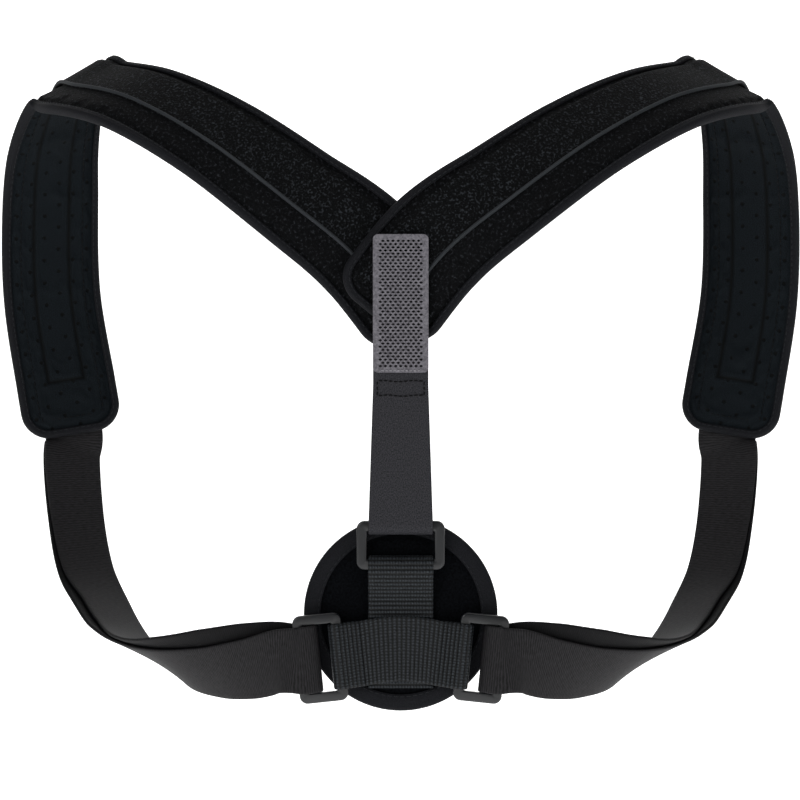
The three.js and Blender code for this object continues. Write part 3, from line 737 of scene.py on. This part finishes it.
def strap(name, frames, width, thickness, side=1, ribs=0.0, pitch=2.2):
    """A strap with rounded edges through (place, across, out) frames, ribbed across if ribs is
    more than 0. A way across that is longer than 1 makes the strap that much wider there."""
    spots = np.array([f[0] for f in frames])
    run = np.concatenate(([0], np.cumsum(np.linalg.norm(np.diff(spots, axis=0), axis=1))))
    step = pitch / 6 if ribs else 2.0
    lengths = np.arange(0, run[-1] + step / 2, step)
    lengths[-1] = run[-1]
    rounding = thickness * 0.5
    spread = [np.linalg.norm(f[1]) for f in frames]
    angles = np.linspace(-math.pi / 2, math.pi / 2, 6)[1:-1]
    rings = []
    for s in lengths:
        at, across, out = (
            np.array([np.interp(s, run, [f[k][c] for f in frames]) for c in range(3)]) for k in range(3)
        )
        out, across = unit(out), unit(across)
        fade = min(s / pitch, (run[-1] - s) / pitch, 1)
        half = thickness / 2 - ribs * fade * (0.5 + 0.5 * math.cos(2 * math.pi * s / pitch)) ** 2
        edge = width / 2 * np.interp(s, run, spread) - rounding
        flat = np.linspace(-edge, edge, COLUMNS)
        section = [(u, -half) for u in flat]
        section += [(edge + rounding * math.cos(a), half * math.sin(a)) for a in angles]
        section += [(u, half) for u in flat[::-1]]
        section += [(-edge - rounding * math.cos(a), -half * math.sin(a)) for a in angles]
        section = section[-2:] + section[:-2]
        rings.append([at + across * u + out * v for u, v in section])
    around = np.cumsum([0, *(math.dist(p, q) for p, q in zip(section, section[1:] + section[:1]))])
    return carried(name, flank(rings, side), lengths, around)


def elastic_weave(name, dark, light):
    """Woven elastic: it gives fine cords across the strap; the grey copy goes on its face, and the black
    copy on its back is painted shade between the strap's layers.
    """
    made, tree, shader = material(name)
    cloth = add(tree, "ShaderNodeUVMap", {"uv_map": "cloth"}).outputs[0]
    drawn = add(tree, "ShaderNodeMapping", None, Vector=cloth, Scale=(1.5, 0.32, 1.0)).outputs[0]
    grain = add(tree, "ShaderNodeTexNoise", None, Vector=drawn, Scale=1.1, Detail=5.0).outputs["Fac"]
    cord = add(tree, "ShaderNodeTexWave", {"bands_direction": "X"}, Vector=cloth, Scale=0.3, Distortion=2.0)
    weave = maths(tree, "MULTIPLY_ADD", grain, 0.7, maths(tree, "MULTIPLY", cord.outputs["Fac"], 0.3))
    shade = ramp(tree, weave, [(0.25, colour(dark)), (0.75, colour(light))])
    finish_with(tree, shader, shade, 0.62, weave, 0.2, 0.7)
    return made


elastic = elastic_weave("woven_elastic_face", "0b0b0c", "2b2a2c")
# Painted shade: the back copy is the same weave in darker tones, standing in for the shade in the gap
# between the strap's two layers.
elastic_shaded_back = elastic_weave("woven_elastic_back_painted_shade", "050506", "111113")
for side, hand in SIDES.items():
    course = courses[side]
    stand = BAND_HALF + CLEARANCE + SIDE_STRAP_THICKNESS / 2
    sections = []
    for d, along_by in ((course.length - OVERLAP, 0), (course.length, RUN_ON)):
        at, along, across, out, _ = course.frame(d)
        sections.append((at + out * stand + along * along_by, out, (0, 0)))
    free = sections[-1][0]
    behind = OUTER_POST + np.array((0, SIDE_REACH, 0))
    for out, deep, down, tip, lean, slip, apart in STRAP_COURSE:
        place = np.array((
            OUTER_POST[0] + (free[0] - OUTER_POST[0]) * out,
            behind[1] + (free[1] - behind[1]) * deep,
            free[2] + (OUTER_POST[2] - free[2]) * down,
        ))
        sections.append((place, facing(tip, lean), (slip, apart)))
    sections.append((behind, facing(360, 0), (0, 1)))
    sling = Course(sections)
    start = OVERLAP + RUN_ON + STEP
    inner, outer = [], []
    for d in np.arange(0, sling.length, 2.5):
        at, along, across, out, (slip, apart) = sling.frame(d)
        inner.append((at + across * slip * SLIP / 2, -across, -out))
        if d > start:
            gap = SIDE_STRAP_THICKNESS + CLEARANCE
            lift = gap + (2 * SIDE_REACH - gap) * apart
            outer.append((at - across * slip * SLIP / 2 + out * lift, -across, out))
    turn = turn_round(OUTER_POST, -OUTWARD, UPWARD * FOLD_SPREAD, SIDE_REACH, FOLD_SLACK)
    piece = strap(
        f"{hand}_side_strap_elastic", [*inner, *turn, *outer[::-1]], STRAP_WIDTH, SIDE_STRAP_THICKNESS, side
    )
    put(piece, f"{hand}_side_strap", elastic)
    # Faces on the strap's back take the darker copy, as painted shade.
    piece.data.materials.append(elastic_shaded_back)
    for face in piece.data.polygons:
        face.material_index = int(max(v % SECTION for v in face.vertices) <= COLUMNS + 4)


# Centre strap and hook tab
# A flat smooth strap comes up behind the crossing of the bands, turns about the upper post of the
# middle ring and runs up in front to the hook tab, a stiff open mesh of grey nylon sewn to its end.
CENTRE_THICKNESS = 1.6
CENTRE_WIDTH = 27.5
CENTRE_SPREAD = 1.17
ABOVE_TAPE = 0.9
OVER_CROSSING = BACK_PLANE - CROSSING_SHIFT - TAPE_CREST - ABOVE_TAPE
UNDER_CROSSING = BACK_PLANE + CROSSING_SHIFT + BAND_HALF + CLEARANCE
TAB_TOP = 42 - CROSSING_DROP
TAB_LENGTH = 68.5
STRAP_TOP_INSET = 8.5
TAB_THICKNESS = 1.2
X_AXIS = np.array((1.0, 0, 0))
Z_AXIS = np.array((0, 0, 1.0))


def through(points):
    """Frames through (place, across) points of a strap in one plane."""
    frames = []
    for i, (at, across) in enumerate(points):
        before, after = points[max(i - 1, 0)][0], points[min(i + 1, len(points) - 1)][0]
        frames.append((at, across, unit(np.cross(unit(after - before), across))))
    return frames


def smooth_nylon():
    """Close smooth nylon: it gives an even charcoal with faint streaks along the strap."""
    made, tree, shader = material("smooth_nylon")
    cloth = add(tree, "ShaderNodeUVMap", {"uv_map": "cloth"}).outputs[0]
    long = add(tree, "ShaderNodeMapping", None, Vector=cloth, Scale=(0.5, 1.0, 1.0)).outputs[0]
    streak = add(tree, "ShaderNodeTexNoise", None, Vector=long, Scale=2.6, Detail=5.0).outputs["Fac"]
    pin = add(tree, "ShaderNodeTexVoronoi", None, Vector=cloth, Scale=1.3).outputs["Distance"]
    shade = ramp(tree, streak, [(0.35, colour("19191c")), (0.65, colour("38383c"))])
    finish_with(tree, shader, shade, 0.7, pin, 0.12, 0.5)
    return made


def point(y, z, wide=1.0):
    return np.array((0.0, y, z)), X_AXIS * wide


post = CENTRE_RING + Z_AXIS * POST_OFFSET
reach = BAR / 2 + CLEARANCE + CENTRE_THICKNESS / 2
clear = TAB_TOP - TAB_LENGTH - 2 * COVER
path = through([
    point(UNDER_CROSSING + CENTRE_THICKNESS / 2, -CROSSING_DROP),
    point(UNDER_CROSSING + CENTRE_THICKNESS / 2, clear),
    *((at, across) for at, across, _ in turn_round(post, -Z_AXIS, X_AXIS * CENTRE_SPREAD, reach)),
    point(OVER_CROSSING - CENTRE_THICKNESS / 2, clear),
    point(OVER_CROSSING - CENTRE_THICKNESS / 2, TAB_TOP - STRAP_TOP_INSET),
])
piece = strap("centre_strap_nylon", path, CENTRE_WIDTH, CENTRE_THICKNESS)
put(piece, "centre_strap", smooth_nylon())

HOLE_ROWS = 40
HOLE_COLUMNS = 9
SELVAGE = 2.4


def tab_mesh():
    """Stiff grey nylon mesh with a solid edge: rows of holes, each other row half a hole aside."""
    wide = (CENTRE_WIDTH - 2 * SELVAGE) / HOLE_COLUMNS
    margin = 2.5
    tall = (TAB_LENGTH - 2 * margin) / HOLE_ROWS
    verts, faces, index = [], [], {}

    def vert(x, z):
        key = (round(x, 3), round(z, 3))
        if key not in index:
            index[key] = len(verts)
            verts.append((x * MM, 0, z * MM))
        return index[key]

    left, bottom = -CENTRE_WIDTH / 2 + SELVAGE, TAB_TOP - TAB_LENGTH + margin
    for row in range(HOLE_ROWS):
        z0, z1 = bottom + row * tall, bottom + (row + 1) * tall
        zm = (z0 + z1) / 2
        shift = wide / 2 * (row % 2)
        for column in range(HOLE_COLUMNS - row % 2):
            x0 = left + column * wide + shift
            xm, x1 = x0 + wide / 2, x0 + wide
            rim = [(x0, z0), (xm, z0), (x1, z0), (x1, z1), (xm, z1), (x0, z1)]
            hw, hh = wide * 0.35, tall * 0.42
            hole = [(xm - hw, zm - hh * 0.2), (xm, zm - hh), (xm + hw, zm - hh * 0.2)]
            hole += [(xm + hw, zm + hh * 0.2), (xm, zm + hh), (xm - hw, zm + hh * 0.2)]
            for k in range(6):
                n = (k + 1) % 6
                faces.append([vert(*rim[k]), vert(*rim[n]), vert(*hole[n]), vert(*hole[k])])
        edges = [-CENTRE_WIDTH / 2, left, left + wide / 2, -left - wide / 2, -left, CENTRE_WIDTH / 2]
        spans = [(edges[0], edges[1]), (edges[4], edges[5])]
        if row % 2:
            spans = [(edges[0], edges[1]), (edges[1], edges[2]), (edges[3], edges[4]), (edges[4], edges[5])]
        for a, b in spans:
            faces.append([vert(a, z0), vert(b, z0), vert(b, z1), vert(a, z1)])
    xs = [-CENTRE_WIDTH / 2, *(left + k * wide / 2 for k in range(2 * HOLE_COLUMNS + 1)), CENTRE_WIDTH / 2]
    top = bottom + HOLE_ROWS * tall
    for z0, z1 in ((bottom - margin, bottom), (top, TAB_TOP)):
        for a, b in zip(xs[1:-1], xs[2:-1]):
            faces.append([vert(a, z0), vert(b, z0), vert(b, z1), vert(a, z1)])
        near, far = (z0, z1) if z1 == TAB_TOP else (z1, z0)
        for x, end in ((xs[1], xs[0]), (xs[-2], xs[-1])):
            way = math.copysign(1, end)
            arc = [
                (end - way * margin * (1 - math.cos(a)), near + (far - near) * math.sin(a))
                for a in np.linspace(0, math.pi / 2, 6)
            ]
            faces.append([vert(x, near), *(vert(*p) for p in arc), vert(x, far)])
    mesh = bpy.data.meshes.new("hook_tab_mesh")
    mesh.from_pydata(verts, [], faces)
    return mesh


def tab_nylon():
    """Knitted nylon hook mesh: it gives a mid grey with a faint crosswise grain and short glints."""
    made, tree, shader = material("hook_mesh_nylon")
    spot = add(tree, "ShaderNodeTexCoord").outputs["Object"]
    grain = add(tree, "ShaderNodeTexNoise", None, Vector=spot, Scale=900.0, Detail=4.0).outputs["Fac"]
    shade = ramp(tree, grain, [(0.3, colour("4f4d52")), (0.7, colour("77757b"))])
    finish_with(tree, shader, shade, 0.6, grain, 0.15, 0.5)
    return made


mesh = tab_mesh()
work = bmesh.new()
work.from_mesh(mesh)
bmesh.ops.remove_doubles(work, verts=work.verts, dist=1e-6)
solid = bmesh.ops.extrude_face_region(work, geom=work.faces[:])
moved = [g for g in solid["geom"] if isinstance(g, bmesh.types.BMVert)]
bmesh.ops.translate(work, verts=moved, vec=(0, -TAB_THICKNESS * MM, 0))
bmesh.ops.recalc_face_normals(work, faces=work.faces)
work.to_mesh(mesh)
work.free()
mesh.transform(Matrix.Translation((0, (OVER_CROSSING - CENTRE_THICKNESS - CLEARANCE) * MM, 0)))
tab = bpy.data.objects.new("hook_tab_mesh", mesh)
scene.collection.objects.link(tab)
put(tab, "hook_tab", tab_nylon())

pale_thread = thread("8d8b90")
face_y = (OVER_CROSSING - CENTRE_THICKNESS - CLEARANCE - TAB_THICKNESS) * MM
row = [
    (np.array((x * MM, face_y, (TAB_TOP - TAB_LENGTH + 1.0) * MM)), X_AXIS, np.array((0, -1.0, 0)))
    for x in np.arange(-9.0, 9.1, 2.0)
]
piece = stitches("hook_tab_stitches", row, 1.3 * MM, 0.28 * MM)
put(piece, None, pale_thread)


TAB_END = TAB_TOP - TAB_LENGTH
front = OVER_CROSSING - CENTRE_THICKNESS
row = []
for drop in (4.2, 11.4):
    for x in np.arange(-10.0, 10.1, 2.5):
        z = TAB_END - drop + 0.3 * math.sin(2.1 * x + drop)
        row.append((np.array((x, front, z)) * MM, X_AXIS, np.array((0, -1.0, 0))))
for x in (-11.6, 11.6):
    for z in np.arange(TAB_END - 10.3, TAB_END - 4.5, 2.5):
        row.append((np.array((x, front, z)) * MM, Z_AXIS, np.array((0, -1.0, 0))))
piece = stitches("centre_strap_stitches", row, 1.9 * MM, 0.38 * MM)
put(piece, None, black_thread)


# Webbings
# Two pieces of coarse ribbed webbing: one folded over the middle ring's lower post and laid down
# the back pad, and one laid across it and folded about the inner posts of the side rings.
WEB_THICKNESS = 1.7
RIB_PITCH = 2.2
RIB_DEPTH = 0.42
WEB_STEP = WEB_THICKNESS + CLEARANCE
WEB_BACK_LENGTH = 30.0
WEB_EASE = 17.0
WEB_END = 36.5
CROSS_WEB_DROP = 16.7
LOWEST = PAD_FACE - CLEARANCE - WEB_THICKNESS / 2


def ribbed_webbing():
    """Coarse polypropylene webbing: it gives a black ground with a dull glint on each rib, and painted shade
    in the grooves between the ribs.
    """
    made, tree, shader = material("ribbed_webbing")
    cloth = add(tree, "ShaderNodeUVMap", {"uv_map": "cloth"}).outputs[0]
    apart = add(tree, "ShaderNodeSeparateXYZ", None, Vector=cloth)
    turns = maths(tree, "MULTIPLY", apart.outputs["X"], math.pi / RIB_PITCH)
    groove = maths(tree, "POWER", maths(tree, "ABSOLUTE", maths(tree, "COSINE", turns)), 2.0)
    yarn = add(tree, "ShaderNodeTexWave", {"bands_direction": "Y"}, Vector=cloth, Scale=0.21, Distortion=4.0)
    grain = add(tree, "ShaderNodeTexNoise", None, Vector=cloth, Scale=1.1, Detail=4.0).outputs["Fac"]
    height = maths(tree, "MULTIPLY_ADD", yarn.outputs["Fac"], 0.45, grain)
    tone = maths(tree, "MULTIPLY", height, 0.75)
    crown = ramp(tree, tone, [(0.3, colour("020407")), (0.85, colour("34393e"))])
    # Painted shade: the grooves between the ribs are coloured near-black over the crowns' yarn colour.
    shade = add(tree, "ShaderNodeMix", {"data_type": "RGBA"}, i0=groove, i6=crown, i7=colour("020303"))
    finish_with(tree, shader, shade.outputs[2], 0.5, height, 0.25, 0.8, 0.2)
    return made


webbing = ribbed_webbing()
reach = BAR / 2 + CLEARANCE + WEB_THICKNESS / 2
post = CENTRE_RING - Z_AXIS * POST_OFFSET
below = post[2] - BAR / 2 - CLEARANCE
laid = below - 2 * reach
ahead, flat = post[1] - reach, LOWEST - WEB_STEP
path = through([
    point(LOWEST, post[2] - WEB_BACK_LENGTH),
    point(LOWEST, laid),
    *((at, across) for at, across, _ in turn_round(post, Z_AXIS, X_AXIS, reach)),
    *(point(ahead + (flat - ahead) * smooth(t, 0, 1), below - WEB_EASE * t) for t in np.linspace(0, 1, 13)),
    point(flat, -PAD_DROP - WEB_END),
])
piece = strap("vertical_webbing_ribs", path, STRAP_WIDTH, WEB_THICKNESS, 1, RIB_DEPTH)
put(piece, "vertical_webbing", webbing)

level = -PAD_DROP - CROSS_WEB_DROP
over = LOWEST - 2 * WEB_STEP
edge = STRAP_WIDTH / 2 * (1 + math.sin(TILT)) + 1.2
fall = (edge - INNER_POST[0]) * math.tan(TILT)
turn = [(at, across) for at, across, _ in turn_round(INNER_POST, OUTWARD, UPWARD, reach)][::-1]
drop = INNER_POST[2] - fall - level
right = []
for t in np.linspace(0, 1, 9)[1:]:
    across = Z_AXIS * math.cos(TILT * t) + X_AXIS * math.sin(TILT * t)
    right.append((np.array((edge * t, over, level + drop * t * t)), across))
right += [*turn, (np.array((edge, INNER_POST[1] + reach, INNER_POST[2] - fall)), UPWARD)]
flip = np.array((-1, 1, 1))
left = [(at * flip, across * flip) for at, across in right][::-1]
path = through([*left, (np.array((0.0, over, level)), Z_AXIS), *right])
piece = strap("cross_webbing_ribs", path, STRAP_WIDTH, WEB_THICKNESS, 1, RIB_DEPTH)
put(piece, "cross_webbing", webbing)


# Back pad
# A round foam pad faced with brushed cloth, thin under its wide bound rim and crowned inside it.
# The rim is one turned cloth edge, sewn down by a row of stitches round its inner side.
PAD_DIAMETER = 97.3
PAD_HALF = 3.0
PAD_COVER = 7.0
PAD_MIDDLE = PAD_FACE + PAD_HALF
PAD_RADIUS = PAD_DIAMETER / 2 - CLEARANCE - BINDING_WALL


def turned(name, profile, steps=128):
    """A profile of (radius, height) points turned about the back pad's axis."""
    rings = []
    for a in np.linspace(0, 2 * math.pi, steps, endpoint=False):
        rings.append([(r * math.cos(a), PAD_MIDDLE + h, -PAD_DROP + r * math.sin(a)) for r, h in profile])
    along = np.linspace(0, 2 * math.pi * PAD_RADIUS, steps + 1)
    around = np.cumsum([0, *(math.dist(p, q) for p, q in zip(profile, profile[1:] + profile[:1]))])
    return carried(name, np.array(rings) * MM, along, around, True)


CROWN = 0.25
slope = PAD_RADIUS - PAD_COVER - CLEARANCE
shoulder = PAD_HALF - CROWN - RIM_HALF
face = [(r, PAD_HALF - CROWN * (r / slope) ** 2) for r in (0.01, 8, 16, 24, slope - SLOPE)]
for t in (0.25, 0.5, 0.75, 1):
    face.append((slope - SLOPE * (1 - t), RIM_HALF + shoulder * (1 - smooth(t, 0, 1))))
face.append((PAD_RADIUS, RIM_HALF))
profile = [(r, -h) for r, h in face] + face[::-1]


def brushed_cloth():
    """Brushed knit over foam: it gives a matt near-black that catches a little light in its nap."""
    made, tree, shader = material("brushed_cloth")
    spot = add(tree, "ShaderNodeTexCoord").outputs["Object"]
    nap = add(tree, "ShaderNodeTexNoise", None, Vector=spot, Scale=900.0, Detail=6.0).outputs["Fac"]
    shade = ramp(tree, nap, [(0.3, colour("020203")), (0.7, colour("0c0e11"))])
    finish_with(tree, shader, shade, 0.95, nap, 0.3, 0.7, 0.04)
    return made


piece = turned("back_pad_cover", profile)
work = bmesh.new()
work.from_mesh(piece.data)
bmesh.ops.remove_doubles(work, verts=work.verts, dist=0.03 * MM)
bmesh.ops.delete(work, geom=[e for e in work.edges if not e.link_faces], context="EDGES")
work.to_mesh(piece.data)
work.free()
put(piece, "back_pad", brushed_cloth())

seam, slot, rim = PAD_RADIUS - PAD_COVER, PAD_RADIUS + CLEARANCE, PAD_DIAMETER / 2
half_arc = [(seam, BINDING_HALF - 0.3), (seam + 0.6, BINDING_HALF), (seam + 3, BINDING_HALF + 0.12)]
nose_depth, nose_half = 1.6, BINDING_HALF - 0.15
half_arc += [(rim - nose_depth, nose_half)]
nose = [
    (rim - nose_depth * (1 - math.sin(a)), nose_half * math.cos(a))
    for a in np.linspace(0.4, math.pi - 0.4, 7)
]
profile = half_arc + nose + [(r, -h) for r, h in reversed(half_arc)]
profile += [(seam, -SLOT_HALF), (slot, -SLOT_HALF), (slot, SLOT_HALF), (seam, SLOT_HALF)]
piece = turned("back_pad_rim", profile)
put(piece, "back_pad_binding", binding_look)
row = []
for a in np.arange(0, 2 * math.pi, STITCH_STEP / (seam + 1)):
    radial = np.array((math.cos(a), 0, math.sin(a)))
    ahead = np.array((-math.sin(a), 0, math.cos(a)))
    middle = np.array((0, PAD_MIDDLE, -PAD_DROP))
    for face_out in (-1, 1):
        at = middle + radial * (seam + 1) + np.array((0, face_out * (BINDING_HALF + 0.02), 0))
        row.append((at * MM, ahead, np.array((0, float(face_out), 0))))
piece = stitches("back_pad_rim_stitches", row, STITCH_LENGTH * MM, THREAD_RADIUS * MM)
put(piece, None, dark_thread)


# Studio
# The photograph's camera looks level from behind; the ground is a plain white sweep, lit softly.
camera = bpy.data.objects.new("camera", bpy.data.cameras.new("camera"))
scene.collection.objects.link(camera)
camera.location = (-0.00035, -1.2205, -0.164)
camera.rotation_euler = (math.pi / 2, 0, 0)
camera.data.lens = 103.5
camera.data.sensor_width = 36
camera.data.clip_start = 0.05
camera.data.clip_end = 50
scene.camera = camera

sweep = bpy.data.meshes.new("white_sweep")
ground, bend, back = -0.45, 0.8, 2.4
profile = [(-4.0, ground), (back - bend, ground)]
profile += [
    (back - bend + bend * math.sin(a), ground + bend - bend * math.cos(a))
    for a in np.linspace(0, math.pi / 2, 13)[1:]
]
profile += [(back, 4.0)]
sweep.from_pydata(
    [(x, y, z) for y, z in profile for x in (-5.0, 5.0)], [],
    [(2 * i, 2 * i + 1, 2 * i + 3, 2 * i + 2) for i in range(len(profile) - 1)],
)
sweep.shade_smooth()
floor = bpy.data.objects.new("white_sweep", sweep)
scene.collection.objects.link(floor)
made, tree, shader = material("white_paper")
finish_with(tree, shader, (0.9, 0.9, 0.9, 1), 0.95)
shader.inputs["Emission Color"].default_value = (1, 1, 1, 1)
shader.inputs["Emission Strength"].default_value = 0.93
sweep.materials.append(made)

world = bpy.data.worlds.new("studio")
world.use_nodes = True
world.node_tree.nodes["Background"].inputs["Color"].default_value = (1, 1, 1, 1)
world.node_tree.nodes["Background"].inputs["Strength"].default_value = 0.06
scene.world = world
scene.view_settings.view_transform = "Standard"
for name, place, size, power in (
    ("key_light", (-0.9, -1.7, 0.5), 0.8, 10.5),
    ("fill_light", (1.3, -1.4, 0.4), 1.2, 5),
    ("top_light", (0.1, 0.2, 1.5), 1.4, 12),
):
    lamp = bpy.data.objects.new(name, bpy.data.lights.new(name, "AREA"))
    lamp.data.size = size
    lamp.data.energy = power
    lamp.location = place
    aim = Vector((0, 0, -0.15)) - Vector(place)
    lamp.rotation_euler = aim.to_track_quat("-Z", "Y").to_euler()
    scene.collection.objects.link(lamp)
